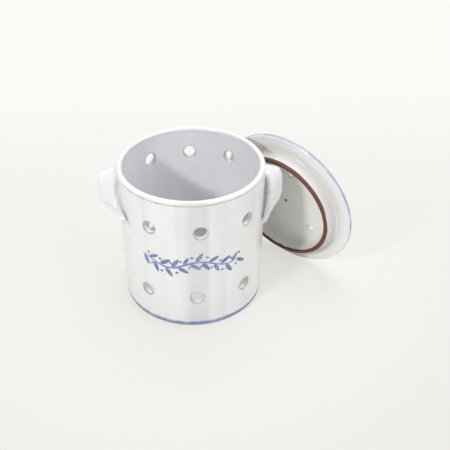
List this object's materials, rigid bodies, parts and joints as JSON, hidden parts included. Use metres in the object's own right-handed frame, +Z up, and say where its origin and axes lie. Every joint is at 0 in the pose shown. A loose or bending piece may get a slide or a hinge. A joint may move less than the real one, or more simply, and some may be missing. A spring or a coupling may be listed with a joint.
{
  "type": "onion keeper",
  "caption": "Round glazed earthenware pot with air holes in its wall, a pulled handle on each side, and a loose lid with a collar and a hollow knob that leans on the pot.",
  "frame": {"origin": "centre of the pot's flat underside, on the surface that it stands on", "axes": "+Z up along the pot's axis, +X towards the right handle, and -Y towards the pot's front"},
  "size_m": [0.3137, 0.2007, 0.1967],
  "materials": {
    "pot_glaze": "glossy white tin glaze over earthenware",
    "handle_glaze": "glossy white tin glaze over earthenware",
    "lid_glaze": "glossy white tin glaze, bare brown clay on the edge of the collar"
  },
  "bodies": {
    "pot": {"pot_body": "pot_glaze", "handle_right": "handle_glaze", "handle_left": "handle_glaze"},
    "lid": {"lid": "lid_glaze", "lid_knob": "lid_glaze"}
  },
  "joints": [
    {"name": "lid_lift", "type": "slide", "parent": "pot", "child": "lid", "axis": [0, 0, 1], "range_m": [0, 0.2]}
  ]
}
